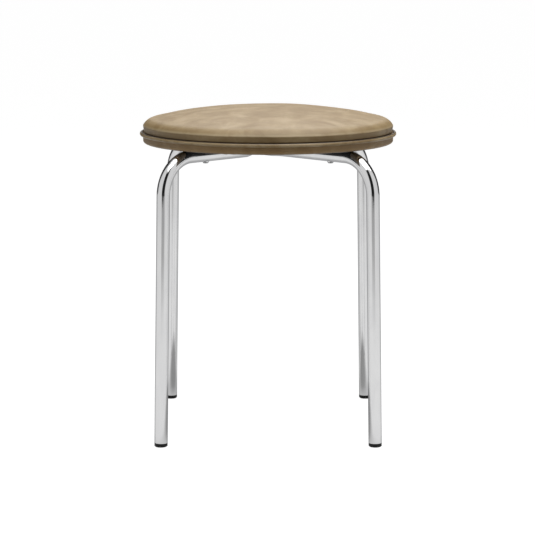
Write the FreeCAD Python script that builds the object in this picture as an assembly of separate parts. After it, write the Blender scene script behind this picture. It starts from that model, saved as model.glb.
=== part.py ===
import FreeCAD, Part
import math
import os

# Round upholstered stool: two bent tubes cross under a round leather-covered seat.
# Millimetres, +Z up, origin on the floor under the middle of the seat, front at -Y.

# Tube frame
frame_top = 400.4           # floor to the crown of the tubes
tube_diameter = 18.0
tube_wall = 1.5
bend_radius = 50.0          # to the tube's axis
stance_radius = 206.0       # stool's axis to a leg's axis, at the floor
leg_lean = 1.34             # degrees that a leg leans out
press_taper = 30.0          # length over which a tube goes from round to pressed
press_margin = 3.0          # pressed length beyond the crossing tube, each side
weld_bead = 2.4             # radius of a bead before it meets the tubes
first_corner = 45.0         # degrees from +X to the rear right leg
leg_count = 4

# Feet
foot_height = 5.0           # black part that shows under the tube
foot_edge_bevel = 1.2
foot_stem_length = 18.0
foot_stem_core = 5.6        # radius between the ribs
foot_rib_count = 3
foot_rib_height = 2.0
foot_rib_clearance = 0.1

# Bolts that hold the seat to the tubes
bolt_diameter = 5.0
bolt_hole_clearance = 0.3   # all round the bolt, in the tube, saddle and dust cover
bolt_head_diameter = 7.6
bolt_head_height = 1.3
bolt_recess = 1.5           # width across the flats of the key socket is twice this
bolt_recess_depth = 0.7
washer_diameter = 9.0
washer_crown = 0.7          # thickness where the tube is lowest
washer_wing = 1.0           # rise of the washer's rim up the tube
saddle_length = 24.0
saddle_cheek = 1.6          # thickness of a saddle beside the tube
saddle_skirt = 7.0          # how far a saddle reaches down the tube's side
saddle_corner_round = 3.0
saddle_clearance = 0.1      # between tube and plastic
saddle_margin = 9.2         # saddle's outer end to the dust cover's step
nut_flange_diameter = 18.0
nut_flange_thickness = 1.2
nut_barrel_diameter = 6.8
nut_barrel_length = 8.0
nut_thread_clearance = 0.1
nut_hole_clearance = 0.1
nut_prong_count = 4
nut_prong_width = 2.4
nut_prong_thickness = 1.0
nut_prong_length = 5.0
nut_pocket_clearance = 0.3

# Seat board and what is stapled under it
board_radius = 173.2
board_thickness = 9.0
board_top_round = 1.0
board_bottom_round = 2.0
leather_thickness = 1.2
wrap_width = 27.0           # leather turned under the board
dust_cover_thickness = 0.4
dust_cover_lap = 14.0       # dust cover over the turned leather
dust_cover_slope = 5.0      # width of its step down to the leather
frame_gap = 0.1             # tube's crown to the dust cover
soft_gap = 0.1              # leather to what it covers

# Staples
staple_crown = 10.0
staple_wire = 0.5
staple_width = 1.2
staple_leg = 6.0
cover_staple_count = 24
cover_staple_inset = 4.5    # from the leather's inner edge
dust_staple_count = 16
dust_staple_inset = 4.0     # from the dust cover's edge

# Cushion and its sewn cover
pad_overhang = 1.8          # board's edge to the pad's widest, over the leather
pad_height = 39.8           # board to the top of the crown
pad_widest_rise = 13.0      # board to the level of the pad's edge
shoulder_radius = 20.0
pad_edge_radius = 2.5       # turned edge between shoulder and side wall
pad_edge_angle = 30.0       # degrees above level at which the shoulder runs into the edge
wall_rest = 0.12            # side wall to the piping that it leans on
wadding_thickness = 3.0
wadding_gap = 0.2
piping_radius = 2.65        # over its leather
piping_leather = 0.9
piping_seam = 0.2           # piping to the band's top fold
cord_gap = 0.1
seam_allowance = 11.0       # sewn edges turned in between board and foam

# Levels and places that follow
axis_height = frame_top - tube_diameter / 2
dust_rim_bottom = frame_top + frame_gap
band_bottom = dust_rim_bottom + dust_cover_thickness
board_bottom = band_bottom + leather_thickness + soft_gap
board_top = board_bottom + board_thickness
dust_bottom = board_bottom - dust_cover_thickness
band_flange_top = board_top + soft_gap + leather_thickness
piping_flange_top = band_flange_top + 2 * piping_leather
cover_flange_top = piping_flange_top + leather_thickness
piping_level = (band_flange_top + piping_flange_top) / 2
widest_level = board_top + pad_widest_rise
crown_level = board_top + pad_height
wrap_inner = board_radius - wrap_width
dust_radius = wrap_inner + dust_cover_lap
bolt_radius = wrap_inner - dust_cover_slope - saddle_margin - saddle_length / 2     # stool's axis to a bolt
pad_radius = board_radius + pad_overhang
seam_inner = board_radius - seam_allowance

# Chords that a hidden or very small round is drawn with
fold_steps = 4
pad_steps = (5, 6)          # shoulder, crown
piping_steps = 16
cord_steps = 8

lean = math.radians(leg_lean)
bend_turn = math.pi / 2 - lean
run_end = stance_radius - axis_height * math.tan(lean) - bend_radius * math.tan(bend_turn / 2)
bend_end = (run_end + bend_radius * math.sin(bend_turn),
            axis_height - bend_radius + bend_radius * math.cos(bend_turn))
pressed_height = tube_diameter / 2
pressed_straight = math.pi * tube_diameter / 8     # half the flat of a pressed tube: same girth as round
pressed_half = pressed_straight + pressed_height / 2 + press_margin
press_end = pressed_half + press_taper
corner_angles = [first_corner + i * 360 / leg_count for i in range(leg_count)]
crossing = ((1, first_corner), (-1, first_corner + 90))     # half that each tube is pressed into, and its turn

X = FreeCAD.Vector(1, 0, 0)
Y = FreeCAD.Vector(0, 1, 0)
Z = FreeCAD.Vector(0, 0, 1)
ORIGIN = FreeCAD.Vector(0, 0, 0)


# Helpers

def at(x, z, y=0.0):
    return FreeCAD.Vector(x, y, z)


def turned(shape, degrees):
    """Copy turned about the stool's upright axis."""
    copy = shape.copy()
    copy.rotate(ORIGIN, Z, degrees)
    return copy


def at_corners(shape):
    """Copies of a piece built along +X, one over each leg's diagonal."""
    return [turned(shape, angle) for angle in corner_angles]


def arc(centre, radius, start, end):
    """Three points of an arc in the XZ plane, angles from +X towards +Z."""
    angles = (start, (start + end) / 2, end)
    return [at(centre[0] + radius * math.cos(a), centre[1] + radius * math.sin(a)) for a in angles]


def chords(centre, radius, start, end, steps):
    """Corners of an arc drawn as straight chords, for a round that is hidden or very small."""
    angles = [start + (end - start) * i / steps for i in range(steps + 1)]
    return [[at(centre[0] + radius * math.cos(a), centre[1] + radius * math.sin(a))] for a in angles]


def outline_face(pieces):
    """Face in the XZ plane from corners and arcs in order, joined by straight lines."""
    edges = []
    here = pieces[-1][-1]
    for piece in pieces:
        if here.distanceToPoint(piece[0]) > 1e-6:
            edges.append(Part.LineSegment(here, piece[0]).toShape())
        if len(piece) == 3:
            edges.append(Part.Arc(*piece).toShape())
        here = piece[-1]
    return Part.Face(Part.Wire(edges))


def spun(pieces):
    """Solid of revolution about the stool's axis."""
    return outline_face(pieces).revolve(ORIGIN, Z, 360)


def backwards(pieces):
    return [piece[::-1] for piece in pieces[::-1]]


# Tubes

def round_section(radius, s):
    """Closed ring of six arcs across the tube, split where a pressed ring has its corners."""
    stops = [math.radians(a) for a in (135, 45, 0, -45, -135, -180, -225)]
    edges = []
    for a, b in zip(stops, stops[1:]):
        ends = [FreeCAD.Vector(s, radius * math.cos(t), axis_height + radius * math.sin(t))
                for t in (a, (a + b) / 2, b)]
        edges.append(Part.Arc(*ends).toShape())
    return Part.Wire(edges)


def pressed_section(height, middle, s):
    """Ring of a pressed tube: two flats and two half-round sides."""
    r = height / 2
    half = pressed_straight
    slant = r * math.sqrt(0.5)

    def corner(y, z):
        return FreeCAD.Vector(s, y, middle + z)

    edges = [
        Part.LineSegment(corner(-half, r), corner(half, r)).toShape(),
        Part.Arc(corner(half, r), corner(half + slant, slant), corner(half + r, 0)).toShape(),
        Part.Arc(corner(half + r, 0), corner(half + slant, -slant), corner(half, -r)).toShape(),
        Part.LineSegment(corner(half, -r), corner(-half, -r)).toShape(),
        Part.Arc(corner(-half, -r), corner(-half - slant, -slant), corner(-half - r, 0)).toShape(),
        Part.Arc(corner(-half - r, 0), corner(-half - slant, slant), corner(-half, r)).toShape(),
    ]
    return Part.Wire(edges)


def pressed_flat(height, middle):
    """Solid of the pressed stretch alone."""
    return Part.Face(pressed_section(height, middle, -pressed_half)).extrude(X * (2 * pressed_half))


def pressed_middle(lift):
    """Level of a pressed stretch: in the tube's top half (lift 1) or bottom half (lift -1)."""
    return axis_height + lift * pressed_height / 2


def bent_rod(radius, height, middle, leg_end):
    """Solid rod along the whole tube: pressed at the crossing, bent down at both ends."""
    round_face = Part.Face(Part.Wire(Part.makeCircle(radius, at(run_end, axis_height), X)))
    run = Part.makeCylinder(radius, run_end - press_end, at(press_end, axis_height), X)
    bend = round_face.revolve(at(run_end, axis_height - bend_radius), Y, math.degrees(bend_turn))
    down = FreeCAD.Vector(math.sin(lean), 0, -math.cos(lean))
    leg_length = (bend_end[1] / math.cos(lean)) - leg_end
    leg = Part.makeCylinder(radius, leg_length, at(*bend_end), down)
    taper = Part.makeLoft([pressed_section(height, middle, pressed_half), round_section(radius, press_end)],
                          True, True)
    side = [taper, run, bend, leg]
    return pressed_flat(height, middle).fuse(side + [turned(piece, 180) for piece in side])


def frame_tube(lift, turn):
    """One bent tube with its bolt holes."""
    middle = pressed_middle(lift)
    outside = bent_rod(tube_diameter / 2, pressed_height, middle, foot_height)
    inside = bent_rod(tube_diameter / 2 - tube_wall, pressed_height - 2 * tube_wall, middle, 0.0)
    hole = Part.makeCylinder(bolt_diameter / 2 + bolt_hole_clearance, 2 * tube_diameter,
                             at(bolt_radius, axis_height - tube_diameter), Z)
    tube = outside.cut([inside, hole, turned(hole, 180)])
    return turned(tube, turn)


def crossing_welds():
    """Beads in the corners where the pressed tubes lie on each other."""
    reach = pressed_straight + pressed_height / 2
    flats = [turned(pressed_flat(pressed_height, pressed_middle(lift)), turn)
             for lift, turn in crossing]
    beads = []
    for lift, turn in crossing:
        for side in (1, -1):
            start = FreeCAD.Vector(-pressed_straight, side * reach, axis_height + lift * weld_bead / 3)
            bead = turned(Part.makeCylinder(weld_bead, 2 * pressed_straight, start, X), turn)
            beads.append(bead.cut(flats))
    return beads


# Feet

def foot():
    """Push-in foot in the leg on the +X side: a base that shows and a ribbed stem in the bore."""
    bore = tube_diameter / 2 - tube_wall
    rib_step = foot_stem_length / foot_rib_count
    base = Part.makeCylinder(tube_diameter / 2, foot_height + tube_diameter, at(0, -tube_diameter), Z)
    stem = Part.makeCylinder(foot_stem_core, foot_stem_length, at(0, foot_height), Z)
    ribs = [Part.makeCylinder(bore - foot_rib_clearance, foot_rib_height,
                              at(0, foot_height + (i + 1) * rib_step - foot_rib_height), Z)
            for i in range(foot_rib_count)]
    stem = stem.fuse(ribs)
    for piece in (base, stem):
        piece.rotate(ORIGIN, Y, -leg_lean)
        piece.translate(at(stance_radius, 0))
    tread = tube_diameter / 2 - foot_edge_bevel
    above_floor = Part.makeCone(tread, tread + 2 * foot_height, 2 * foot_height, at(stance_radius, 0), Z)
    return base.common(above_floor).fuse(stem).removeSplitter()


# Bolts, washers, saddles and nuts, built over +X

def tube_clearance_rod():
    return Part.makeCylinder(tube_diameter / 2 + saddle_clearance, 4 * saddle_length,
                             at(bolt_radius - 2 * saddle_length, axis_height), X)


def bolt_hole(low, high):
    return Part.makeCylinder(bolt_diameter / 2 + bolt_hole_clearance, high - low, at(bolt_radius, low), Z)


washer_bottom = axis_height - tube_diameter / 2 - saddle_clearance - washer_crown


def saddle_washer():
    height = washer_crown + saddle_clearance + washer_wing
    disc = Part.makeCylinder(washer_diameter / 2, height, at(bolt_radius, washer_bottom), Z)
    return disc.cut([tube_clearance_rod(), bolt_hole(washer_bottom, axis_height)])


def tube_saddle():
    """Plastic saddle between tube and seat."""
    width = tube_diameter + 2 * (saddle_clearance + saddle_cheek)
    low = frame_top - saddle_skirt
    block = Part.makeBox(saddle_length, width, dust_bottom - low,
                         FreeCAD.Vector(bolt_radius - saddle_length / 2, -width / 2, low))
    corners = [edge for edge in block.Edges if edge.BoundBox.ZLength > 1e-3]
    block = block.makeFillet(saddle_corner_round, corners)
    return block.cut([tube_clearance_rod(), bolt_hole(axis_height, dust_bottom)])


def seat_bolt():
    """Low-headed bolt with a six-sided key socket, from under the tube into its nut."""
    shank = Part.makeCylinder(bolt_diameter / 2, board_top - washer_bottom, at(bolt_radius, washer_bottom), Z)
    head_low = washer_bottom - bolt_head_height
    head_radius = bolt_head_diameter / 2
    head_bevel = bolt_head_height / 2
    head = Part.makeCone(head_radius - head_bevel, head_radius, head_bevel, at(bolt_radius, head_low), Z)
    head = head.fuse(Part.makeCylinder(head_radius, bolt_head_height - head_bevel,
                                       at(bolt_radius, head_low + head_bevel), Z))
    corner_radius = bolt_recess / math.cos(math.pi / 6)
    ring = [FreeCAD.Vector(bolt_radius + corner_radius * math.cos(i * math.pi / 3),
                           corner_radius * math.sin(i * math.pi / 3), head_low) for i in range(7)]
    socket = Part.Face(Part.makePolygon(ring)).extrude(Z * bolt_recess_depth)
    return shank.fuse(head).cut(socket).removeSplitter()


def nut_prongs(clearance):
    reach = nut_flange_diameter / 2 - nut_prong_thickness
    prong = Part.makeBox(nut_prong_thickness + 2 * clearance, nut_prong_width + 2 * clearance,
                         nut_prong_length + clearance,
                         FreeCAD.Vector(reach - clearance, -nut_prong_width / 2 - clearance,
                                        board_top - nut_prong_length - clearance))
    prongs = [turned(prong, i * 360 / nut_prong_count) for i in range(nut_prong_count)]
    for piece in prongs:
        piece.translate(at(bolt_radius, 0))
    return prongs


def t_nut():
    flange = Part.makeCylinder(nut_flange_diameter / 2, nut_flange_thickness, at(bolt_radius, board_top), Z)
    barrel = Part.makeCylinder(nut_barrel_diameter / 2, nut_barrel_length,
                               at(bolt_radius, board_top - nut_barrel_length), Z)
    thread = Part.makeCylinder(bolt_diameter / 2 + nut_thread_clearance, 2 * board_thickness,
                               at(bolt_radius, board_top - board_thickness), Z)
    return flange.fuse([barrel] + nut_prongs(0.0)).cut(thread).removeSplitter()


def nut_seats():
    """What the four nuts and bolts take out of the board."""
    cuts = [Part.makeCylinder(nut_barrel_diameter / 2 + nut_hole_clearance, 2 * board_thickness,
                              at(bolt_radius, board_bottom - board_thickness / 2), Z)]
    cuts += nut_prongs(nut_hole_clearance)
    return [copy for cut in cuts for copy in at_corners(cut)]


# Staples

def staples(count, radius, crown_bottom):
    """Ring of staples driven up into the board, crowns along the ring."""
    bar = Part.makeBox(staple_width, staple_crown, staple_wire,
                       FreeCAD.Vector(radius - staple_width / 2, -staple_crown / 2, crown_bottom))
    legs = [Part.makeBox(staple_width, staple_wire, staple_leg,
                         FreeCAD.Vector(radius - staple_width / 2, y, crown_bottom))
            for y in (-staple_crown / 2, staple_crown / 2 - staple_wire)]
    staple = bar.fuse(legs).removeSplitter()
    return [turned(staple, (i + 0.5) * 360 / count) for i in range(count)]


def cover_staples():
    """Hold the leather; pulled in flush with its underside."""
    return staples(cover_staple_count, wrap_inner + cover_staple_inset, band_bottom)


def dust_cover_staples():
    return staples(dust_staple_count, dust_radius - dust_staple_inset, dust_rim_bottom - staple_wire)


# Seat

def seat_board(staple_solids):
    board = spun([[at(0, board_top)]] + board_folds(0.0) + [[at(0, board_bottom)]])
    return board.cut(nut_seats() + staple_solids)


def board_folds(offset):
    """Round edges of the board's rim, top one first, offset outwards."""
    top_fold = (board_radius - board_top_round, board_top - board_top_round)
    bottom_fold = (board_radius - board_bottom_round, board_bottom + board_bottom_round)
    return (chords(top_fold, board_top_round + offset, math.pi / 2, 0, fold_steps)
            + chords(bottom_fold, board_bottom_round + offset, 0, -math.pi / 2, fold_steps))


def board_outline(offset):
    """Board's rim from the top to the underside, with its folds, offset outwards."""
    return ([[at(seam_inner, board_top + offset)]] + board_folds(offset)
            + [[at(wrap_inner, board_bottom - offset)]])


def side_band(staple_solids):
    """Leather strip round the board's edge, sewn in above and turned under below."""
    outside = board_outline(soft_gap + leather_thickness)
    inside = board_outline(soft_gap)
    return spun(outside + backwards(inside)).cut(staple_solids)


def dust_cover(staple_solids):
    """Thin cloth under the board, lapped over the turned leather."""
    step_out = wrap_inner
    step_in = wrap_inner - dust_cover_slope
    t = dust_cover_thickness
    sheet = spun([
        [at(0, board_bottom)],
        [at(step_in, board_bottom)],
        [at(step_out, band_bottom)],
        [at(dust_radius, band_bottom)],
        [at(dust_radius, band_bottom - t)],
        [at(step_out, band_bottom - t)],
        [at(step_in, board_bottom - t)],
        [at(0, board_bottom - t)],
    ])
    return sheet.cut(at_corners(bolt_hole(dust_bottom - t, board_bottom + t)) + staple_solids)


def wall_slant():
    """Angle at which the side wall draws in, so that it leans on the piping."""
    across = piping_axis_radius() - (pad_radius - pad_edge_radius)
    down = widest_level - piping_level
    apart = pad_edge_radius + piping_radius + wall_rest
    return math.atan2(down, across) - math.acos(apart / math.hypot(across, down))


def pad_outline(inset, base, hidden=True):
    """Cushion's outside from its base level up to the axis, inset by a layer's depth."""
    turn = math.radians(pad_edge_angle)
    slant = -wall_slant()
    edge_centre = (pad_radius - pad_edge_radius, widest_level)
    inward = shoulder_radius - pad_edge_radius
    shoulder_centre = (edge_centre[0] - inward * math.cos(turn), edge_centre[1] - inward * math.sin(turn))
    reach = shoulder_centre[0]
    height = crown_level - shoulder_centre[1]
    crown_radius = (reach ** 2 + height ** 2 - shoulder_radius ** 2) / (2 * (height - shoulder_radius))
    crown_centre = (0.0, crown_level - crown_radius)
    meet = math.atan2(shoulder_centre[1] - crown_centre[1], reach)
    wall_reach = edge_centre[0] * math.cos(slant) + edge_centre[1] * math.sin(slant) + pad_edge_radius - inset
    foot_of_wall = [at((wall_reach - base * math.sin(slant)) / math.cos(slant), base)]
    crown = (crown_centre, crown_radius - inset, meet, math.pi / 2)
    if not hidden:
        edge = arc(edge_centre, pad_edge_radius, slant, turn)
        shoulder = arc(shoulder_centre, shoulder_radius, turn, meet)
        return [foot_of_wall, edge, shoulder, arc(*crown)]
    shoulder = shoulder_radius - inset
    beyond = wall_reach - shoulder_centre[0] * math.cos(slant) - shoulder_centre[1] * math.sin(slant)
    corner = slant + math.acos(beyond / shoulder)
    return ([foot_of_wall] + chords(shoulder_centre, shoulder, corner, meet, pad_steps[0])
            + chords(*crown, pad_steps[1]))


def top_cover():
    """Leather over the cushion, its sewn edge turned in at the bottom."""
    outside = pad_outline(0.0, piping_flange_top, hidden=False)
    inside = pad_outline(leather_thickness, cover_flange_top)
    flange = [[at(seam_inner, cover_flange_top)], [at(seam_inner, piping_flange_top)]]
    return spun(outside + backwards(inside) + flange)


wadding_inset = leather_thickness + wadding_gap
foam_inset = wadding_inset + wadding_thickness + wadding_gap
foam_rim_level = cover_flange_top + wadding_gap


def wadding_layer():
    outside = pad_outline(wadding_inset, foam_rim_level)
    inside = pad_outline(wadding_inset + wadding_thickness, foam_rim_level)
    return spun(outside + backwards(inside))


def foam_pad():
    """Crowned foam on the board, stepped over the sewn edges and the nuts."""
    step = seam_inner - wadding_gap
    foam = spun([[at(0, board_top)], [at(step, board_top)], [at(step, foam_rim_level)]]
                + pad_outline(foam_inset, foam_rim_level))
    pocket = Part.makeCylinder(nut_flange_diameter / 2 + nut_pocket_clearance,
                               nut_flange_thickness + nut_pocket_clearance, at(bolt_radius, board_top), Z)
    return foam.cut(at_corners(pocket))


def piping_axis_radius():
    """Piping's own circle: it lies against the band's top fold."""
    fold = board_top_round + soft_gap + leather_thickness
    apart = fold + piping_radius + piping_seam
    rise = piping_level - (board_top - board_top_round)
    return board_radius - board_top_round + math.sqrt(apart ** 2 - rise ** 2)


def piping_ring(radius, steps):
    """Ring along the piping's circle, its section drawn with that many chords."""
    return spun(chords((piping_axis_radius(), piping_level), radius, 0, 2 * math.pi, steps)[:-1])


def piping_cover():
    """Leather folded round the cord, with its sewn flange."""
    ring = piping_ring(piping_radius, piping_steps)
    depth = 2 * piping_leather
    flange = spun([
        [at(seam_inner, band_flange_top)],
        [at(piping_axis_radius(), band_flange_top)],
        [at(piping_axis_radius(), band_flange_top + depth)],
        [at(seam_inner, band_flange_top + depth)],
    ])
    bore = piping_ring(piping_radius - piping_leather, cord_steps)
    return ring.fuse(flange).cut(bore).removeSplitter()


def piping_cord():
    return piping_ring(piping_radius - piping_leather - cord_gap, cord_steps)


# Build and write

def build():
    upper, lower = [frame_tube(lift, turn) for lift, turn in crossing]
    leather_staples = cover_staples()
    cloth_staples = dust_cover_staples()
    all_staples = leather_staples + cloth_staples
    foot_names = ("foot_rear_right", "foot_rear_left", "foot_front_left", "foot_front_right")
    nodes = {
        "frame_tube_upper": [upper],
        "frame_tube_lower": [lower],
        "crossing_welds": crossing_welds(),
        "tube_saddles": at_corners(tube_saddle()),
        "saddle_washers": at_corners(saddle_washer()),
        "seat_bolts": at_corners(seat_bolt()),
        "t_nuts": at_corners(t_nut()),
        "seat_board": [seat_board(all_staples)],
        "cover_staples": leather_staples,
        "dust_cover_staples": cloth_staples,
        "side_band": [side_band(all_staples)],
        "dust_cover": [dust_cover(cloth_staples)],
        "piping_cover": [piping_cover()],
        "piping_cord": [piping_cord()],
        "foam_pad": [foam_pad()],
        "wadding_layer": [wadding_layer()],
        "top_cover": [top_cover()],
    }
    for name, solid in zip(foot_names, at_corners(foot())):
        nodes[name] = [solid]
    return nodes


os.makedirs("parts", exist_ok=True)
for node, pieces in build().items():
    solids = [solid for piece in pieces for solid in piece.Solids]
    shape = solids[0] if len(solids) == 1 else Part.makeCompound(solids)
    shape.exportStep("parts/" + node + ".step")
    print(node, len(solids), "valid" if shape.isValid() else "NOT VALID", round(shape.Volume, 2))
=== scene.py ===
import math
from collections import namedtuple

import bmesh
import bpy
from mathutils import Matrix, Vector, noise


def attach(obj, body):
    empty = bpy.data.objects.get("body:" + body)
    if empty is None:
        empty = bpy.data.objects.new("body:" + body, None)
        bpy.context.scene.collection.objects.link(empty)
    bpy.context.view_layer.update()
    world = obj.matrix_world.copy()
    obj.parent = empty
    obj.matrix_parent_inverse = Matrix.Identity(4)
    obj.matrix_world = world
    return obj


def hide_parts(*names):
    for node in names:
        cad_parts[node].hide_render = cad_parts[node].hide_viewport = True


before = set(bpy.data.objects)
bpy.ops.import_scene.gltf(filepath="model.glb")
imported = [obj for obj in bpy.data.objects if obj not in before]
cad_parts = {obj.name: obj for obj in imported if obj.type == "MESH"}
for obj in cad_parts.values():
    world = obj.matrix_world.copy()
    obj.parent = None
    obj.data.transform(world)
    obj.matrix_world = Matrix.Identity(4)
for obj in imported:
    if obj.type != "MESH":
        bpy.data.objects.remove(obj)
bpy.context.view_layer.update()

# Round upholstered stool: bent chromed tubes crossing under a leather seat with piping.
# Metres, +Z up, origin on the floor under the middle of the seat, front at -Y.

# Tube frame
frame_top = 0.4004
tube_radius = 0.009
tube_wall = 0.0015
bend_radius = 0.050
stance_radius = 0.206
lean = math.radians(1.34)
press_taper = 0.030
press_margin = 0.003
foot_height = 0.005
tube_rim_round = 0.0004
upper_tube_turn = math.radians(45)
lower_tube_turn = math.radians(135)

# Rings of points along half a tube, from the crossing to the foot
tube_sides = 64
pressed_shares = (0.0, 0.6, 1.0)
taper_steps = 16
run_shares = (0.25, 0.5, 0.75, 1.0)
bend_steps = 36
leg_shares = (0.12, 0.25, 0.4, 0.55, 0.7, 0.85, 0.96)
rim_steps = 4

# Seat board and the leather band round it
board_radius = 0.1732
board_bottom = 0.4022
board_top = 0.4112
board_top_round = 0.001
board_bottom_round = 0.002
leather_thickness = 0.0012
soft_gap = 0.0001
wrap_inner = 0.1462
seam_inner = 0.1622
band_sides = 720
band_flange_ring = 0.005
band_face_rings = (0.0055, 0.0038)
turn_under_start = 0.003
turn_under_shares = (0.86, 0.7, 0.55, 0.3, 0.0)
fold_level = board_bottom + 0.001
fold_height = 0.002
band_wave = 0.00022
band_waves_round = 46
band_wave_start = 0.003
pleat_depth = 0.0011
pleats_round = 150
pleat_start = 0.006
pleat_end = 0.004

# Dust cover
dust_radius = 0.1602
dust_thickness = 0.0004
dust_slope = 0.005
dust_gap = 0.00002
band_bottom = 0.4009
dust_rings = 44
dust_staples = 16
dust_scallop = 0.0011
scallop_rings = 6
dust_slack = 0.00035
slack_pitch = 22

# Cushion
pad_radius = 0.175
shoulder_radius = 0.020
pad_edge_radius = 0.0025
pad_edge_angle = math.radians(30)
wall_rest = 0.00012
widest_level = 0.4242
crown_level = 0.451
wadding_inset = 0.0014
wadding_thickness = 0.003
wadding_ripple = 0.0002
foam_inset = 0.0046
foam_lift = 0.0016
foam_ring = 0.06
layer_slack = 0.0006
layer_gap = 0.0002
axis_hole = 0.0004
layer_sides = 160

# Points up the cushion's outline: on its wall, edge, shoulder and crown
cover_steps = (6, 7, 10, 26)
layer_steps = (4, 0, 8, 14)

# Swell and puckers of the cushion's leather
blank_inset = 0.0015
sewn_rings = 2
swell_steps = 20
swell_limit = 0.0006
pucker_depth = 0.0009
pucker_reach = 0.006
unevenness = 0.0005
uneven_pitch = 15
pucker_rings = 3
uneven_rings = 12

# Piping
piping_radius = 0.00265
piping_leather = 0.0009
piping_level = 0.4134
piping_axis = 0.17624
piping_sides = 900
piping_slit = 0.00004
piping_flange_ring = 0.006
piping_flange_top = 0.4143
cover_flange_top = 0.4155
seam_level = piping_level + piping_radius
wrinkle_depth = 0.00016
wrinkle_skin = 0.0002
wrinkle_start = -0.0015
lap_height = 0.00035
lap_angle = 0.53 * math.pi
lap_half_angle = 0.016

# Cord in the piping
cord_radius = 0.00165
cord_corners = 24
cord_strands = 3
cord_turns = 95
strand_depth = 0.06

# The cushion's wall leans on the piping
wall_across = piping_axis - (pad_radius - pad_edge_radius)
wall_down = widest_level - piping_level
wall_apart = pad_edge_radius + piping_radius + wall_rest
wall_lean = math.acos(wall_apart / math.hypot(wall_across, wall_down))
wall_slant = math.atan2(wall_down, wall_across) - wall_lean

# A tube's run ends where its bend begins, and is pressed to half height at the crossing
axis_height = frame_top - tube_radius
bend_turn = math.pi / 2 - lean
run_end = stance_radius - axis_height * math.tan(lean) - bend_radius * math.tan(bend_turn / 2)
pressed_straight = math.pi * tube_radius / 4
pressed_half = pressed_straight + tube_radius / 2 + press_margin
press_end = pressed_half + press_taper


# Shapes

def ease(share):
    """Smooth step from 0 to 1."""
    share = min(1.0, max(0.0, share))
    return share * share * (3 - 2 * share)


def bow(centre, radius, start, end, steps):
    """Points of an arc, both ends included, as (across, up)."""
    turns = [start + (end - start) * i / max(steps, 1) for i in range(steps + 1)]
    return [(centre[0] + radius * math.cos(t), centre[1] + radius * math.sin(t)) for t in turns]


def ripple(angle, waves, seed):
    """Noise that runs round the seat and meets itself, from about -1 to 1."""
    spread = waves / (2 * math.pi)
    return noise.noise(Vector((spread * math.cos(angle), spread * math.sin(angle), seed)))


def make_piece(name, points, faces, finish, stands_for, sharp=None):
    """Closed piece that rides on the frame and stands for a solid; sharp is its crease angle in degrees."""
    mesh = bpy.data.meshes.new(name)
    mesh.from_pydata(points, [], faces)
    work = bmesh.new()
    work.from_mesh(mesh)
    bmesh.ops.recalc_face_normals(work, faces=work.faces)
    work.to_mesh(mesh)
    work.free()
    mesh.shade_smooth()
    if sharp:
        mesh.set_sharp_from_angle(angle=math.radians(sharp))
    mesh.materials.append(finish)
    piece = bpy.data.objects.new(name, mesh)
    bpy.context.scene.collection.objects.link(piece)
    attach(piece, "root")
    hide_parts(stands_for)
    return piece


def ring_faces(rings, sides):
    """Quads between rings of points laid one after another, the last joined to the first."""
    faces = []
    for k in range(rings):
        here = k * sides
        there = ((k + 1) % rings) * sides
        for i in range(sides):
            j = (i + 1) % sides
            faces.append((here + i, here + j, there + j, there + i))
    return faces


def turned_points(loop, count, shift=None):
    """A closed outline spun about the seat's axis; shift moves a point (across, up, angle, index)."""
    points = []
    for k in range(count):
        angle = 2 * math.pi * k / count
        for index, (across, up) in enumerate(loop):
            if shift:
                across, up = shift(across, up, angle, index)
            points.append((across * math.cos(angle), across * math.sin(angle), up))
    return points, ring_faces(count, len(loop))


def disc_grid(rings):
    """Square grid drawn out to a disc: ring and angle of each point, the quads, and the rim in order."""
    index = {}
    spots = []
    for j in range(-rings, rings + 1):
        for i in range(-rings, rings + 1):
            ring = max(abs(i), abs(j))
            angle = 0.0
            if ring and abs(i) >= abs(j):
                angle = math.pi / 4 * j / i + (math.pi if i < 0 else 0.0)
            elif ring:
                angle = math.pi / 2 - math.pi / 4 * i / j + (math.pi if j < 0 else 0.0)
            index[i, j] = len(spots)
            spots.append((ring, angle % (2 * math.pi)))
    quads = []
    for j in range(-rings, rings):
        for i in range(-rings, rings):
            quads.append((index[i, j], index[i + 1, j], index[i + 1, j + 1], index[i, j + 1]))
    rim = [k for k, spot in enumerate(spots) if spot[0] == rings]
    rim.sort(key=lambda k: spots[k][1])
    return spots, quads, rim


# Shader building

class Value:
    """A shader socket that can be used in sums."""

    def __init__(self, finish, socket):
        self.finish = finish
        self.socket = socket

    def __add__(self, other):
        return self.finish.maths("ADD", self, other)

    def __radd__(self, other):
        return self.finish.maths("ADD", other, self)

    def __sub__(self, other):
        return self.finish.maths("SUBTRACT", self, other)

    def __rsub__(self, other):
        return self.finish.maths("SUBTRACT", other, self)

    def __mul__(self, other):
        return self.finish.maths("MULTIPLY", self, other)

    def __rmul__(self, other):
        return self.finish.maths("MULTIPLY", other, self)

    def __truediv__(self, other):
        return self.finish.maths("DIVIDE", self, other)

    def __rtruediv__(self, other):
        return self.finish.maths("DIVIDE", other, self)


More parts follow.
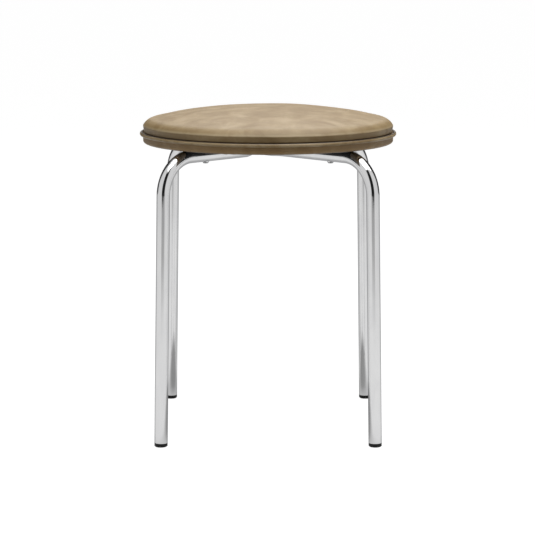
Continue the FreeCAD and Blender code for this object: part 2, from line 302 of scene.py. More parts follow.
class Finish:
    """A material, or the world, and its nodes."""

    def __init__(self, name, owner=None):
        self.owner = owner or bpy.data.materials.new(name)
        self.owner.use_nodes = True
        self.tree = self.owner.node_tree
        self.tree.nodes.clear()

    def node(self, kind, settings, inputs, output=0):
        made = self.tree.nodes.new("ShaderNode" + kind)
        for name, setting in settings.items():
            setattr(made, name, setting)
        for name, value in inputs.items():
            if isinstance(value, Value):
                self.tree.links.new(value.socket, made.inputs[name])
            else:
                made.inputs[name].default_value = value
        return Value(self, made.outputs[output]) if made.outputs else None

    def maths(self, operation, first, second=0.0):
        return self.node("Math", {"operation": operation}, {0: first, 1: second})

    def place(self):
        return self.node("TexCoord", {}, {}, "Object")

    def stretched(self, scale):
        return self.node("Mapping", {}, {"Vector": self.place(), "Scale": scale})

    def noise(self, vector, scale=1.0, detail=3.0, rough=0.55, twist=0.0):
        return self.node("TexNoise", {}, {"Vector": vector, "Scale": scale, "Detail": detail,
                                          "Roughness": rough, "Distortion": twist}, "Fac")

    def cells(self, vector, scale, feature="F1"):
        inputs = {"Vector": vector, "Scale": scale}
        return self.node("TexVoronoi", {"feature": feature}, inputs, "Distance")

    def wave(self, vector, scale, twist, settings):
        return self.node("TexWave", settings, {"Vector": vector, "Scale": scale, "Distortion": twist})

    def between(self, value, low, high, to_low=0.0, to_high=1.0):
        """Smooth change from to_low at low to to_high at high."""
        settings = {"interpolation_type": "SMOOTHSTEP"}
        return self.node("MapRange", settings, {"Value": value, "From Min": low, "From Max": high,
                                                "To Min": to_low, "To Max": to_high})

    def strip(self, value, start, full, fade, end):
        """1 from full to fade, and 0 before start and after end."""
        return self.between(value, start, full) * self.between(value, end, fade)

    def mix(self, share, first, second):
        def colour(value):
            return value if isinstance(value, Value) else (*value, 1.0)
        return self.node("Mix", {"data_type": "RGBA"}, {0: share, 6: colour(first), 7: colour(second)}, 2)

    def axis(self, vector, name):
        return self.node("SeparateXYZ", {}, {"Vector": vector}, name)

    def level(self):
        """Height above the floor."""
        return self.axis(self.place(), "Z")

    def out_from_axis(self):
        """Distance from the seat's axis."""
        place = self.place()
        x = self.axis(place, "X")
        y = self.axis(place, "Y")
        return self.maths("SQRT", x * x + y * y)

    def around_seat(self, radius):
        """Coordinates along a ring of the seat, out from its axis, and up."""
        place = self.place()
        along = self.maths("ARCTAN2", self.axis(place, "Y"), self.axis(place, "X")) * radius
        return self.node("CombineXYZ", {}, {"X": along, "Y": self.out_from_axis(), "Z": self.level()})

    def bump(self, height, strength, distance):
        return self.node("Bump", {}, {"Height": height, "Strength": strength, "Distance": distance})

    def light_path(self, ray):
        return self.node("LightPath", {}, {}, ray)

    def surface(self, inputs):
        shader = self.node("BsdfPrincipled", {}, inputs)
        self.node("OutputMaterial", {}, {"Surface": shader})
        return self.owner


# Materials

leather_deep = (0.240, 0.147, 0.046)
leather_middle = (0.372, 0.251, 0.105)
leather_pale = (0.550, 0.430, 0.255)
# Painted shade: colour for leather turned under the board.
painted_underside_shade = (0.100, 0.061, 0.022)
band_deep = (0.320, 0.188, 0.062)
band_middle = (0.430, 0.274, 0.110)
seam_shade = (0.012, 0.006, 0.002)
chrome_dull = (0.575, 0.575, 0.58)
chrome_bright = (0.63, 0.63, 0.63)
chrome_edge = (0.32, 0.32, 0.33, 1.0)
weld_dark = (0.36, 0.36, 0.37)
weld_light = (0.58, 0.58, 0.58)
birch_dark = (0.60, 0.44, 0.26)
birch_light = (0.74, 0.58, 0.38)
birch_glue = (0.42, 0.27, 0.14)
ply_pitch = 0.0015
foam_dark = (0.80, 0.71, 0.46)
foam_light = (0.88, 0.80, 0.57)
wadding_dark = (0.80, 0.80, 0.77)
wadding_light = (0.93, 0.93, 0.91)
cord_dark = (0.60, 0.53, 0.40)
cord_light = (0.80, 0.75, 0.63)
cloth_dark = (0.012, 0.012, 0.013)
cloth_light = (0.045, 0.045, 0.047)
cloth_dot = (0.02, 0.02, 0.021)


def chrome():
    """Polished plate with faint smears."""
    f = Finish("chrome_plate")
    smear = f.noise(f.stretched((1.0, 1.0, 0.35)), scale=45.0, detail=4.0, rough=0.6, twist=0.6)
    fine = f.noise(f.place(), scale=900.0, detail=2.0)
    tone = f.between(smear, 0.3, 0.75)
    return f.surface({
        "Base Color": f.mix(tone, chrome_dull, chrome_bright),
        "Metallic": 1.0,
        "Roughness": 0.045 + 0.05 * tone,
        "Specular Tint": chrome_edge,
        "Normal": f.bump(fine, strength=0.02, distance=0.0002),
    })


def weld_bead():
    """Plated bead with the ripples of its making."""
    f = Finish("weld_bead")
    wave = f.wave(f.place(), scale=220.0, twist=1.5, settings={"wave_type": "RINGS"})
    grit = f.noise(f.place(), scale=1400.0)
    return f.surface({
        "Base Color": f.mix(f.between(grit, 0.35, 0.7), weld_dark, weld_light),
        "Metallic": 1.0,
        "Roughness": 0.22 + 0.2 * grit,
        "Normal": f.bump(wave + 0.3 * grit, strength=0.5, distance=0.0004),
    })


def moulded_plastic(name, dark, dusty):
    """Moulded plastic with a fine spark-eroded grain and some dust."""
    f = Finish(name)
    grain = f.noise(f.place(), scale=2600.0, detail=2.0)
    dust = f.between(f.noise(f.place(), scale=180.0, detail=4.0, rough=0.65), 0.48, 0.78)
    return f.surface({
        "Base Color": f.mix(dust, dark, dusty),
        "Roughness": 0.5 + 0.18 * dust,
        "Specular IOR Level": 0.25,
        "Normal": f.bump(grain, strength=0.25, distance=0.00015),
    })


def plated_steel(name, dark, light, rough, spangle):
    """Zinc-plated steel with its crystals."""
    f = Finish(name)
    crystals = f.node("TexVoronoi", {}, {"Vector": f.place(), "Scale": spangle}, "Color")
    tone = f.node("SeparateColor", {}, {"Color": crystals}, 0)
    stain = f.noise(f.place(), scale=320.0)
    return f.surface({
        "Base Color": f.mix(0.6 * tone + 0.5 * stain, dark, light),
        "Metallic": 1.0,
        "Roughness": rough + 0.15 * stain,
        "Normal": f.bump(stain + 0.3 * tone, strength=0.12, distance=0.0002),
    })


def plywood():
    """Raw birch board: grain on its faces, plies on its edge."""
    f = Finish("birch_plywood")
    grain = f.noise(f.stretched((14.0, 160.0, 160.0)), detail=5.0, rough=0.6, twist=0.8)
    ply = f.maths("SINE", f.level() * (2 * math.pi / ply_pitch))
    tone = f.mix(f.between(grain, 0.3, 0.72), birch_dark, birch_light)
    return f.surface({
        "Base Color": f.mix(f.between(ply, -0.2, 0.2, to_high=0.35), tone, birch_glue),
        "Roughness": 0.62 + 0.15 * grain,
        "Normal": f.bump(grain, strength=0.25, distance=0.0004),
    })


def foam():
    """Open-celled cream foam."""
    f = Finish("cream_foam")
    cells = f.cells(f.place(), scale=900.0)
    tone = f.noise(f.place(), scale=40.0)
    return f.surface({
        "Base Color": f.mix(f.between(tone, 0.3, 0.7), foam_dark, foam_light),
        "Roughness": 0.85 + 0.1 * tone,
        "Normal": f.bump(cells, strength=0.6, distance=0.0006),
    })


def wadding():
    """White fibre wadding."""
    f = Finish("white_wadding")
    fibre = f.noise(f.stretched((60.0, 420.0, 240.0)), detail=5.0, rough=0.7, twist=1.6)
    return f.surface({
        "Base Color": f.mix(f.between(fibre, 0.3, 0.7), wadding_dark, wadding_light),
        "Roughness": 0.88 + 0.1 * fibre,
        "Normal": f.bump(fibre, strength=0.5, distance=0.0008),
    })


def paper_cord():
    """Twisted paper cord inside the piping."""
    f = Finish("paper_cord")
    ring = f.around_seat(piping_axis)
    lay = f.wave(ring, scale=160.0, twist=0.6, settings={"bands_direction": "DIAGONAL"})
    tone = f.noise(f.place(), scale=300.0)
    return f.surface({
        "Base Color": f.mix(lay, cord_dark, cord_light),
        "Roughness": 0.8 + 0.1 * tone,
        "Normal": f.bump(lay, strength=0.4, distance=0.0004),
    })


def dust_cloth():
    """Black spun-bonded cloth with its pressed dots."""
    f = Finish("dust_cloth")
    fibre = f.noise(f.stretched((260.0, 900.0, 500.0)), detail=4.0, rough=0.7, twist=2.0)
    pressed = f.between(f.cells(f.place(), scale=520.0), 0.18, 0.32)
    colour = f.mix(f.between(fibre, 0.35, 0.7), cloth_dark, cloth_light)
    return f.surface({
        "Base Color": f.mix(pressed, cloth_dot, colour),
        "Roughness": 0.62 + 0.25 * pressed,
        "Specular IOR Level": 0.3,
        "Normal": f.bump(fibre + 0.6 * pressed, strength=0.5, distance=0.0003),
    })


def leather(name, deep, middle, wear_and_sheen):
    """Waxed leather: cloudy pull-up tones, fine pebble grain, pale wear where the given mask says (on the
    cushion's shoulder also painted highlight and sheen), painted shade at the seam and under the board.
    """
    f = Finish(name)
    place = f.place()
    cloud = f.noise(place, scale=30.0, detail=5.0, rough=0.58, twist=0.5)
    streak = f.noise(f.stretched((26.0, 40.0, 50.0)), detail=4.0, twist=0.7)
    pore = f.noise(place, scale=1100.0)
    crease = f.between(f.cells(place, scale=850.0, feature="DISTANCE_TO_EDGE"), 0.0, 0.16)
    tone = f.between(0.62 * cloud + 0.38 * streak, 0.32, 0.68)
    pulled = f.between(cloud * streak, 0.22, 0.45, to_high=0.22)
    # Painted shade: leather below the board's underside is darkened for the shade under the seat.
    turned = f.between(board_bottom - f.level(), 0.0, 0.001)
    # Painted shade in the crevice at the seam: on the cushion's wall just above the piping, and on the
    # piping's top.
    sewn = f.strip(f.level() - seam_level, -0.0011, -0.0003, 0.0006, 0.0016)
    colour = f.mix(tone, deep, middle)
    colour = f.mix(pulled, colour, leather_pale)
    # Pale wear; for the seat leather also a painted highlight along the cushion's rim and a painted sheen
    # over its shoulder.
    colour = f.mix(wear_and_sheen(f, cloud), colour, leather_pale)
    colour = f.mix(turned, colour, painted_underside_shade)
    colour = f.mix(0.9 * sewn, colour, seam_shade)
    colour = f.mix(0.16 * (1 - crease), colour, deep)
    height = 0.7 * crease + 0.3 * pore + 0.5 * streak
    return f.surface({
        "Base Color": colour,
        "Roughness": 0.47 - 0.05 * tone + 0.06 * pore,
        "Specular IOR Level": 0.64,
        "Normal": f.bump(height, strength=0.22, distance=0.00025),
    })


def shoulder_wear_and_sheen(f, cloud):
    """Pale colour along the cushion's rim, part wear and part painted highlight, and a fainter painted
    sheen over its shoulder.
    """
    above = f.level() - widest_level
    rim = f.strip(above, -0.0005, 0.0008, 0.0015, 0.004)
    shoulder = f.strip(above, -0.0005, 0.0008, 0.008, 0.018)
    return (0.5 * rim + 0.2 * shoulder) * f.between(cloud, 0.2, 0.5)


def worn_piping(f, cloud):
    """Pale rub along the outermost line of the piping."""
    outermost = f.between(f.out_from_axis() - piping_axis, 0.0009, piping_radius)
    return 0.6 * outermost * f.between(cloud, 0.25, 0.6)


def worn_band(f, cloud):
    """Faint pale rub along the band's lower fold."""
    fold = f.between(f.level() - board_bottom, 0.004, 0.001)
    outside = f.between(f.out_from_axis() - board_radius, -0.001, 0.0)
    return 0.08 * fold * outside * f.between(cloud, 0.35, 0.65)


chrome_plate = chrome()
seat_leather = leather("seat_leather", leather_deep, leather_middle, shoulder_wear_and_sheen)
piping_hide = leather("piping_leather", leather_deep, leather_middle, worn_piping)
band_hide = leather("band_leather", band_deep, band_middle, worn_band)

foot_plastic = moulded_plastic("foot_plastic", dark=(0.003, 0.003, 0.003), dusty=(0.010, 0.010, 0.009))
saddle_plastic = moulded_plastic("saddle_plastic", dark=(0.016, 0.016, 0.017), dusty=(0.045, 0.044, 0.042))
black_zinc = plated_steel("black_zinc", dark=(0.020, 0.020, 0.021), light=(0.06, 0.06, 0.06),
                          rough=0.42, spangle=1500.0)
bright_zinc = plated_steel("bright_zinc", dark=(0.46, 0.44, 0.38), light=(0.70, 0.68, 0.60),
                           rough=0.28, spangle=900.0)
staple_wire = plated_steel("staple_wire", dark=(0.42, 0.42, 0.42), light=(0.66, 0.66, 0.66),
                           rough=0.3, spangle=1800.0)


# Solids that keep their shape and get a finish

def dress(node, finish):
    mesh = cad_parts[node].data
    mesh.materials.clear()
    mesh.materials.append(finish)


kept = {
    "crossing_welds": weld_bead(),
    "tube_saddles": saddle_plastic,
    "saddle_washers": chrome_plate,
    "seat_bolts": black_zinc,
    "t_nuts": bright_zinc,
    "seat_board": plywood(),
    "cover_staples": staple_wire,
    "dust_cover_staples": staple_wire,
    "foot_front_left": foot_plastic,
    "foot_front_right": foot_plastic,
    "foot_rear_left": foot_plastic,
    "foot_rear_right": foot_plastic,
}
for node, finish in kept.items():
    dress(node, finish)


# Bent tubes

# Place of a ring on a tube: its middle, which way is up there, how round it is, how far its rim draws in
Station = namedtuple("Station", "across level up_across up_level roundness rim")


def tube_section(roundness, wall):
    """Ring across a tube as (sideways, up): round, or pressed to half height with the same girth."""
    full = tube_radius - wall
    low = tube_radius / 2 - wall
    ring = []
    for i in range(tube_sides):
        turn = 360 * i / tube_sides
        slant = math.radians(turn)
        if 45 <= turn < 135:
            flat = (pressed_straight * (90 - turn) / 45, low)
        elif 135 <= turn < 225:
            side = math.radians((turn - 180) * 2)
            flat = (-pressed_straight - low * math.cos(side), -low * math.sin(side))
        elif 225 <= turn < 315:
            flat = (pressed_straight * (turn - 270) / 45, -low)
        else:
            side = math.radians((turn if turn < 45 else turn - 360) * 2)
            flat = (pressed_straight + low * math.cos(side), low * math.sin(side))
        sideways = flat[0] + (full * math.cos(slant) - flat[0]) * roundness
        up = flat[1] + (full * math.sin(slant) - flat[1]) * roundness
        ring.append((sideways, up))
    return ring


def tube_stations():
    """Stations along one half of a tube, from the crossing to the foot."""
    stations = []
    for share in pressed_shares:
        stations.append(Station(pressed_half * share, axis_height, 0.0, 1.0, 0.0, 0.0))
    for i in range(1, taper_steps + 1):
        share = i / taper_steps
        across = pressed_half + press_taper * share
        stations.append(Station(across, axis_height, 0.0, 1.0, ease(share), 0.0))
    for share in run_shares:
        across = press_end + (run_end - press_end) * share
        stations.append(Station(across, axis_height, 0.0, 1.0, 1.0, 0.0))
    for i in range(1, bend_steps + 1):
        turn = bend_turn * i / bend_steps
        across = run_end + bend_radius * math.sin(turn)
        level = axis_height - bend_radius + bend_radius * math.cos(turn)
        stations.append(Station(across, level, math.sin(turn), math.cos(turn), 1.0, 0.0))
    start, top = stations[-1].across, stations[-1].level
    cos, sin = math.cos(lean), math.sin(lean)
    length = top / cos - foot_height
    for share in leg_shares:
        reach = length * share
        stations.append(Station(start + reach * sin, top - reach * cos, cos, sin, 1.0, 0.0))
    for i in range(rim_steps + 1):
        turn = math.pi / 2 * i / rim_steps
        reach = length - tube_rim_round * (1 - math.sin(turn))
        rim = tube_rim_round * (1 - math.cos(turn))
        stations.append(Station(start + reach * sin, top - reach * cos, cos, sin, 1.0, rim))
    return stations


def tube_skin(lift, wall):
    """Rings of points along a whole tube, from foot to foot; only the outer skin draws in at its rims."""
    half = tube_stations()
    mirrored = [s._replace(across=-s.across, up_across=-s.up_across) for s in half[:0:-1]]
    rings = []
    for station in mirrored + half:
        middle = lift * tube_radius / 2 * (1 - station.roundness)
        ring = []
        for sideways, up in tube_section(station.roundness, wall or station.rim):
            rise = up + middle
            across = station.across + rise * station.up_across
            ring.append((across, sideways, station.level + rise * station.up_level))
        rings.append(ring)
    return rings


def frame_tube(name, lift, turn):
    """One tube, hollow, with rounded ends; lift says which half of the crossing it is pressed into."""
    outer = tube_skin(lift, 0.0)
    inner = tube_skin(lift, tube_wall)[::-1]
    cos, sin = math.cos(turn), math.sin(turn)
    points = [(x * cos - y * sin, x * sin + y * cos, z) for ring in outer + inner for x, y, z in ring]
    faces = ring_faces(len(outer) + len(inner), tube_sides)
    return make_piece(name + "_chromed", points, faces, chrome_plate, name, sharp=40)


frame_tube("frame_tube_upper", 1, upper_tube_turn)
frame_tube("frame_tube_lower", -1, lower_tube_turn)


# Cushion layers

def pad_profile(inset, base, steps):
    """Cushion's outside from its base level up to the axis, inset by a layer's depth."""
    wall_steps, edge_steps, shoulder_steps, crown_steps = steps
    edge_centre = (pad_radius - pad_edge_radius, widest_level)
    inward = shoulder_radius - pad_edge_radius
    shoulder_centre = (edge_centre[0] - inward * math.cos(pad_edge_angle),
                       edge_centre[1] - inward * math.sin(pad_edge_angle))
    reach = shoulder_centre[0]
    height = crown_level - shoulder_centre[1]
    crown_radius = (reach ** 2 + height ** 2 - shoulder_radius ** 2) / (2 * (height - shoulder_radius))
    crown_centre = (0.0, crown_level - crown_radius)
    meet = math.atan2(shoulder_centre[1] - crown_centre[1], reach)
    cos, sin = math.cos(wall_slant), -math.sin(wall_slant)
    wall_reach = edge_centre[0] * cos + edge_centre[1] * sin + pad_edge_radius - inset
    shoulder = shoulder_radius - inset
    edge = pad_edge_radius - inset
    turn = pad_edge_angle
    if edge > 0:
        edge_row = bow(edge_centre, edge, -wall_slant, turn, edge_steps)
    else:
        beyond = wall_reach - shoulder_centre[0] * cos - shoulder_centre[1] * sin
        turn = math.acos(beyond / shoulder) - wall_slant
        edge_row = bow(shoulder_centre, shoulder, turn, turn, steps=0)
    top = edge_row[0][1]
    levels = [base + (top - base) * i / wall_steps for i in range(wall_steps)]
    wall_row = [((wall_reach - level * sin) / cos, level) for level in levels]
    shoulder_row = bow(shoulder_centre, shoulder, turn, meet, shoulder_steps)
    crown_row = bow(crown_centre, crown_radius - inset, meet, math.pi / 2, crown_steps)
    return wall_row + edge_row + shoulder_row[1:] + crown_row[1:]


def layer_outline(inset, base):
    """Outline of a hidden layer, open by a hair at the axis."""
    return pad_profile(inset, base, layer_steps)[:-1] + [(axis_hole, crown_level - inset)]


def swell(sheet, sewn):
    """Blow the sewn cover up a little with a cloth simulation and give back its points."""
    group = sheet.vertex_groups.new(name="sewn")
    group.add(sewn, 1.0, "REPLACE")
    cloth = sheet.modifiers.new("Swell", "CLOTH")
    cloth.settings.vertex_group_mass = "sewn"
    cloth.settings.quality = 6
    cloth.settings.mass = 0.4
    cloth.settings.tension_stiffness = 40
    cloth.settings.compression_stiffness = 40
    cloth.settings.shear_stiffness = 15
    cloth.settings.bending_stiffness = 4
    cloth.settings.use_pressure = True
    cloth.settings.uniform_pressure_force = 4.0
    cloth.settings.effector_weights.gravity = 0.0
    cloth.point_cache.frame_start = 1
    cloth.point_cache.frame_end = swell_steps
    scene = bpy.context.scene
    for step in range(1, swell_steps + 1):
        scene.frame_set(step)
    swollen = sheet.evaluated_get(bpy.context.evaluated_depsgraph_get())
    points = [vertex.co.copy() for vertex in swollen.data.vertices]
    sheet.modifiers.remove(cloth)
    scene.frame_set(1)
    return points


def top_cover():
    """Leather over the cushion: swollen, puckered at its seam, its edge turned in."""
    rings = sum(cover_steps)
    spots, quads, rim = disc_grid(rings)

    def laid(inset):
        rows = pad_profile(inset, piping_flange_top, cover_steps)[::-1]
        points = []
        for ring, angle in spots:
            across, up = rows[ring]
            points.append(Vector((across * math.cos(angle), across * math.sin(angle), up)))
        return points

    wanted = laid(0.0)
    swollen = wanted
    mesh = bpy.data.meshes.new("cover_blank")
    mesh.from_pydata(laid(blank_inset), [], quads)
    sheet = bpy.data.objects.new("cover_blank", mesh)
    bpy.context.scene.collection.objects.link(sheet)
    sewn = [k for k, spot in enumerate(spots) if spot[0] >= rings - sewn_rings]
    swollen = swell(sheet, sewn)
    bpy.data.objects.remove(sheet)
    outer = []
    for (ring, angle), point, goal in zip(spots, swollen, wanted):
        out = Vector((math.cos(angle), math.sin(angle), 0.0))
        move = point - goal
        move = move * min(1.0, swell_limit / max(move.length, 1e-9))
        rise = max(0.0, goal.z - piping_flange_top)
        near_seam = math.exp(-rise / pucker_reach) * ease((rings - ring) / pucker_rings)
        pucker = 0.5 * ripple(angle, waves=60, seed=1.7) + 0.5 * ripple(angle, waves=130, seed=8.3)
        uneven = noise.noise(Vector((goal.x * uneven_pitch, goal.y * uneven_pitch, 4.2)))
        uneven *= ease((rings - ring) / uneven_rings)
        move = move + out * (pucker_depth * pucker * near_seam) + Vector((0, 0, unevenness * uneven))
        outer.append(goal + move)
    inner = laid(leather_thickness)
    inner = [inside + (point - goal) for inside, point, goal in zip(inner, outer, wanted)]
    count = len(spots)
    points = outer + inner
    faces = quads + [tuple(count + k for k in quad[::-1]) for quad in quads]
    loops = [rim]
    for level in (piping_flange_top, cover_flange_top):
        loops.append(list(range(len(points), len(points) + len(rim))))
        for k in rim:
            angle = spots[k][1]
            points.append(Vector((seam_inner * math.cos(angle), seam_inner * math.sin(angle), level)))
    loops.append([count + k for k in rim])
    for here, there in zip(loops, loops[1:]):
        for i in range(len(rim)):
            j = (i + 1) % len(rim)
            faces.append((here[i], here[j], there[j], there[i]))
    cover = make_piece("cushion_cover", points, faces, seat_leather, "top_cover")
    smooth = cover.modifiers.new("Smooth", "SUBSURF")
    smooth.levels = 1
    smooth.render_levels = 1
    return cover


def cushion_wadding():
    """Fibre layer between foam and leather, slightly uneven."""
    base = cover_flange_top + layer_gap
    outside = layer_outline(wadding_inset + layer_slack, base)
    inside = layer_outline(wadding_inset + wadding_thickness, base)

    def shift(across, up, angle, index):
        if index >= len(outside):
            return across, up
        return across, up + wadding_ripple * ripple(angle, waves=20 + 2 * index, seed=0.3 * index)

    points, faces = turned_points(outside + inside[::-1], layer_sides, shift)
    layer = make_piece("cushion_wadding", points, faces, wadding(), "wadding_layer", sharp=50)
    return layer


def cushion_foam():
    """Crowned foam block, stepped over the sewn edges and clear of the nuts."""
    base = cover_flange_top + layer_gap
    step = seam_inner - layer_gap
    under = board_top + foam_lift
    loop = [(axis_hole, under), (foam_ring, under), (step, under), (step, base)]
    loop += layer_outline(foam_inset + layer_slack, base)
    points, faces = turned_points(loop, layer_sides)
    block = make_piece("cushion_foam", points, faces, foam(), "foam_pad", sharp=50)
    return block


top_cover()
cushion_wadding()
cushion_foam()


# Piping

def piping_wrap():
    """Leather strip folded round the cord, both layers of its edge sewn in behind."""
    outer = piping_radius
    inner = piping_radius - piping_leather
    half = piping_leather
    mouth_out = math.asin(half / outer)
    mouth_in = math.asin(piping_slit / inner)
    centre = (piping_axis, piping_level)
    ring = seam_inner + piping_flange_ring
    loop = [(seam_inner, piping_level - half), (ring, piping_level - half)]
    loop += bow(centre, outer, math.pi + mouth_out, 3 * math.pi - mouth_out, steps=36)
    loop += [(ring, piping_level + half), (seam_inner, piping_level + half)]
    loop += [(seam_inner, piping_level + piping_slit), (ring, piping_level + piping_slit)]
    loop += bow(centre, inner, 3 * math.pi - mouth_in, math.pi + mouth_in, steps=20)
    loop += [(ring, piping_level - piping_slit), (seam_inner, piping_level - piping_slit)]

    def shift(across, up, angle, index):
        out = across - piping_axis
        rise = up - piping_level
        reach = math.hypot(out, rise)
        if reach < inner + wrinkle_skin or out < wrinkle_start:
            return across, up
        wrinkle = 0.6 * ripple(angle, waves=240, seed=0.13 * index)
        wrinkle += 0.5 * ripple(angle, waves=90, seed=5.0 + 0.05 * index)
        lap = lap_height * ease(1 - abs(angle - lap_angle) / lap_half_angle)
        grow = 1 + (wrinkle_depth * wrinkle + lap) / reach
        return piping_axis + out * grow, piping_level + rise * grow

    points, faces = turned_points(loop, piping_sides, shift)
    wrap = make_piece("piping_wrap", points, faces, piping_hide, "piping_cover", sharp=60)
    return wrap


def piping_twist():
    """Cord inside the piping, with the lay of its twist."""
    def shift(across, up, angle, index):
        strand = math.cos(cord_strands * (2 * math.pi * index / cord_corners + angle * cord_turns))
        grow = 1 - strand_depth + strand_depth * strand
        return piping_axis + (across - piping_axis) * grow, piping_level + (up - piping_level) * grow

    loop = bow((piping_axis, piping_level), cord_radius, 0.0, 2 * math.pi, cord_corners)[:-1]
    points, faces = turned_points(loop, piping_sides, shift)
    return make_piece("piping_cord_twist", points, faces, paper_cord(), "piping_cord")


piping_twist()


# Band round the board

def board_rim(offset):
    """Board's edge from its top to its underside, offset outwards."""
    top_fold = (board_radius - board_top_round, board_top - board_top_round)
    bottom_fold = (board_radius - board_bottom_round, board_bottom + board_bottom_round)
    turned = board_radius - turn_under_start - wrap_inner
    rim = [(seam_inner, board_top + offset), (seam_inner + band_flange_ring, board_top + offset)]
    rim += bow(top_fold, board_top_round + offset, math.pi / 2, 0, steps=8)
    rim += [(board_radius + offset, board_bottom + height) for height in band_face_rings]
    rim += bow(bottom_fold, board_bottom_round + offset, 0, -math.pi / 2, steps=10)
    rim += [(wrap_inner + turned * share, board_bottom - offset) for share in turn_under_shares]
    return rim


def seat_band():
    """Leather strip round the board's edge, pleated where it turns under."""
    outside = board_rim(soft_gap + leather_thickness)
    inside = board_rim(soft_gap)

    def shift(across, up, angle, index):
        if index >= len(outside):
            return across, up
        under = ease((fold_level - up) / fold_height)
        pleat = abs(ripple(angle, waves=pleats_round, seed=2.4))
        pleat *= ease((board_radius - across) / pleat_start) * ease((across - dust_radius) / pleat_end)
        wave = band_wave * ripple(angle, waves=band_waves_round, seed=6.1 + 0.05 * index)
        wave *= ease((board_top - up) / band_wave_start) * (1 - under)
        return across + wave, up - pleat_depth * pleat * under

    points, faces = turned_points(outside + inside[::-1], band_sides, shift)
    band = make_piece("seat_band", points, faces, band_hide, "side_band", sharp=60)
    return band


seat_band()
piping_wrap()


# Dust cover

def underside_cloth():
    """Thin black cloth stapled under the board, drawn between its staples."""
    spots, quads, rim = disc_grid(dust_rings)
    top = []
    low = []
    for ring, angle in spots:
        across = dust_radius * ring / dust_rings
        edge = ease((across - (wrap_inner - dust_slope)) / dust_slope)
        level = board_bottom + (band_bottom - board_bottom) * edge
        pull = 0.5 + 0.5 * math.cos(dust_staples * (angle - math.pi / dust_staples))
        across -= dust_scallop * pull * ease((ring - dust_rings + scallop_rings) / scallop_rings)
        x = across * math.cos(angle)
        y = across * math.sin(angle)
        sag = 0.5 + 0.5 * noise.noise(Vector((x * slack_pitch, y * slack_pitch, 1.1)))
        sag *= dust_slack * (1 - edge)
        top.append((x, y, level - dust_gap - sag))
        low.append((x, y, level - dust_thickness - sag))
    count = len(spots)
    faces = quads + [tuple(count + k for k in quad) for quad in quads]
    for i in range(len(rim)):
        j = (i + 1) % len(rim)
        faces.append((rim[i], rim[j], count + rim[j], count + rim[i]))
    points = top + low
    cloth = make_piece("underside_cloth", points, faces, dust_cloth(), "dust_cover", sharp=60)
    return cloth


underside_cloth()


# Floor, light and camera

floor_half = 40.0
floor_white = (0.97, 0.97, 0.97)
floor_paper = (0.4, 0.4, 0.4, 1.0)
floor_shade = (0.2, 0.2, 0.2, 1.0)
room_white = (1.0, 1.0, 1.0)
room_light = (0.12, 0.12, 0.12)
black = (0.0, 0.0, 0.0)

# Dark that metal mirrors, by direction from the stool: to the side and ahead, where it starts and is full
card_side = (0.16, 0.30)
card_ahead = (0.10, 0.40)
gap_side = (0.46, 0.34)
gap_ahead = (0.0, -0.3)
dusk_ahead = (0.0, 0.3)

# The same on the floor, in metres from the stool, and how dark it gets
far_dusk = (2.5, 5.0)
far_dark = 0.75
card_fade = (2.0, 2.8, 0.28, 0.75)
# Painted shadow of the stool on the floor, seen only in metal: where it fades out from the axis, and how
# dark it gets.
painted_shadow_reach = (0.27, 0.11)
painted_shadow_dark = 0.66
near_gap = (-0.8, -2.4, 0.0, 0.46)
far_gap = (-3.6, -4.2, 0.0, 0.52)

# The same in the room, by the rise of a direction, and how dark it gets
low_dusk = (0.40, 0.12)
low_dark = 0.80
card_top = (0.90, 0.76)
card_dark = 0.92
gap_dark = 0.98

camera_place = (-0.0008, -2.830, 0.6935)
camera_tilt = 0.165
camera_lens = 136.6
camera_film = 36.0
camera_depth = 200.0


def seen_plainly(f):
    """1 for what the camera sees, straight or in metal or through glass, else 0."""
    seen = f.light_path("Is Camera Ray") + f.light_path("Is Glossy Ray")
    seen = seen + f.light_path("Is Transmission Ray")
    return f.maths("MINIMUM", seen, 1.0)


def dark_cards(f, x, y):
    """Shares of dark that metal mirrors: two cards behind, to the sides; a gap in front; dusk behind."""
    reach = f.maths("SQRT", x * x + y * y)
    side = f.maths("ABSOLUTE", x / reach)
    ahead = y / reach
    cards = f.between(side, *card_side) * f.between(ahead, *card_ahead)
    gap = f.between(side, *gap_side) * f.between(ahead, *gap_ahead)
    dusk = f.between(ahead, *dusk_ahead)
    return cards, gap, dusk


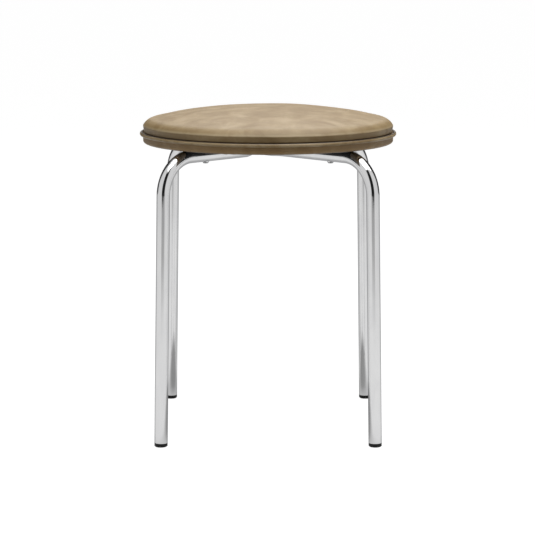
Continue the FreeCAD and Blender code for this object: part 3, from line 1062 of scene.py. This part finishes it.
def studio_floor():
    """Pale floor: shows white, keeps a soft shadow, and darkens only what metal mirrors, including a
    painted shadow under the seat.
    """
    f = Finish("studio_floor")
    place = f.place()
    along = f.axis(place, "Y")
    cards, gap, dusk = dark_cards(f, f.axis(place, "X"), along)
    far = far_dark * dusk * f.between(along, *far_dusk)
    sides = cards * f.between(along, *card_fade)
    # Painted shadow under the seat, for what metal mirrors.
    under = painted_shadow_dark * f.between(f.out_from_axis(), *painted_shadow_reach)
    front = f.between(along, *near_gap) + f.between(along, *far_gap)
    dark = f.maths("MAXIMUM", far, sides) + gap * front
    dark = f.maths("MAXIMUM", dark, under) * f.light_path("Is Glossy Ray")
    paper = f.node("BsdfDiffuse", {}, {"Color": floor_paper})
    shade = f.node("BsdfDiffuse", {}, {"Color": floor_shade})
    glow = f.node("Emission", {}, {"Color": f.mix(dark, floor_white, black)})
    shown = f.node("AddShader", {}, {0: shade, 1: glow})
    both = f.node("MixShader", {}, {0: seen_plainly(f), 1: paper, 2: shown})
    f.node("OutputMaterial", {}, {"Surface": both})
    mesh = bpy.data.meshes.new("studio_floor")
    corners = [(x * floor_half, y * floor_half, 0.0) for x, y in ((-1, -1), (1, -1), (1, 1), (-1, 1))]
    mesh.from_pydata(corners, [], [(0, 1, 2, 3)])
    mesh.materials.append(f.owner)
    floor = bpy.data.objects.new("studio_floor", mesh)
    bpy.context.scene.collection.objects.link(floor)


def studio_world():
    """White room; metal mirrors its dark cards, the gap in front and the dusk low behind."""
    world = bpy.data.worlds.new("studio_world")
    bpy.context.scene.world = world
    f = Finish("studio_world", world)
    way = f.node("TexCoord", {}, {}, "Generated")
    rise = f.axis(way, "Z")
    cards, gap, dusk = dark_cards(f, f.axis(way, "X"), f.axis(way, "Y"))
    low = low_dark * dusk * f.between(rise, *low_dusk)
    dark = (card_dark * cards + gap_dark * gap) * f.between(rise, *card_top)
    dark = f.maths("MAXIMUM", dark, low) * f.light_path("Is Glossy Ray")
    shown = f.mix(dark, room_white, black)
    light = f.node("Background", {}, {"Color": f.mix(seen_plainly(f), room_light, shown)})
    f.node("OutputWorld", {}, {"Surface": light})


def softbox(name, place, aim, width, height, power):
    """Rectangular lamp that faces a point."""
    lamp = bpy.data.lights.new(name, "AREA")
    lamp.shape = "RECTANGLE"
    lamp.size = width
    lamp.size_y = height
    lamp.energy = power
    box = bpy.data.objects.new(name, lamp)
    box.location = place
    box.rotation_euler = (Vector(aim) - Vector(place)).to_track_quat("-Z", "Y").to_euler()
    bpy.context.scene.collection.objects.link(box)


def photo_camera():
    """Camera fitted to the photograph's view."""
    lens = bpy.data.cameras.new("photo_camera")
    lens.lens = camera_lens
    lens.sensor_width = camera_film
    lens.clip_end = camera_depth
    camera = bpy.data.objects.new("photo_camera", lens)
    camera.location = camera_place
    camera.rotation_euler = (math.pi / 2 - camera_tilt, 0.0, 0.0)
    bpy.context.scene.collection.objects.link(camera)
    bpy.context.scene.camera = camera


studio_floor()
studio_world()
softbox("overhead_softbox", place=(0.3, -0.40, 2.2), aim=(0.0, 0.0, 0.4), width=2.6, height=1.4, power=37.5)
softbox("rear_softbox", place=(0.0, 2.0, 2.45), aim=(0.0, 0.0, 0.45), width=2.4, height=1.2, power=24.0)
photo_camera()
bpy.context.scene.view_settings.view_transform = "Standard"
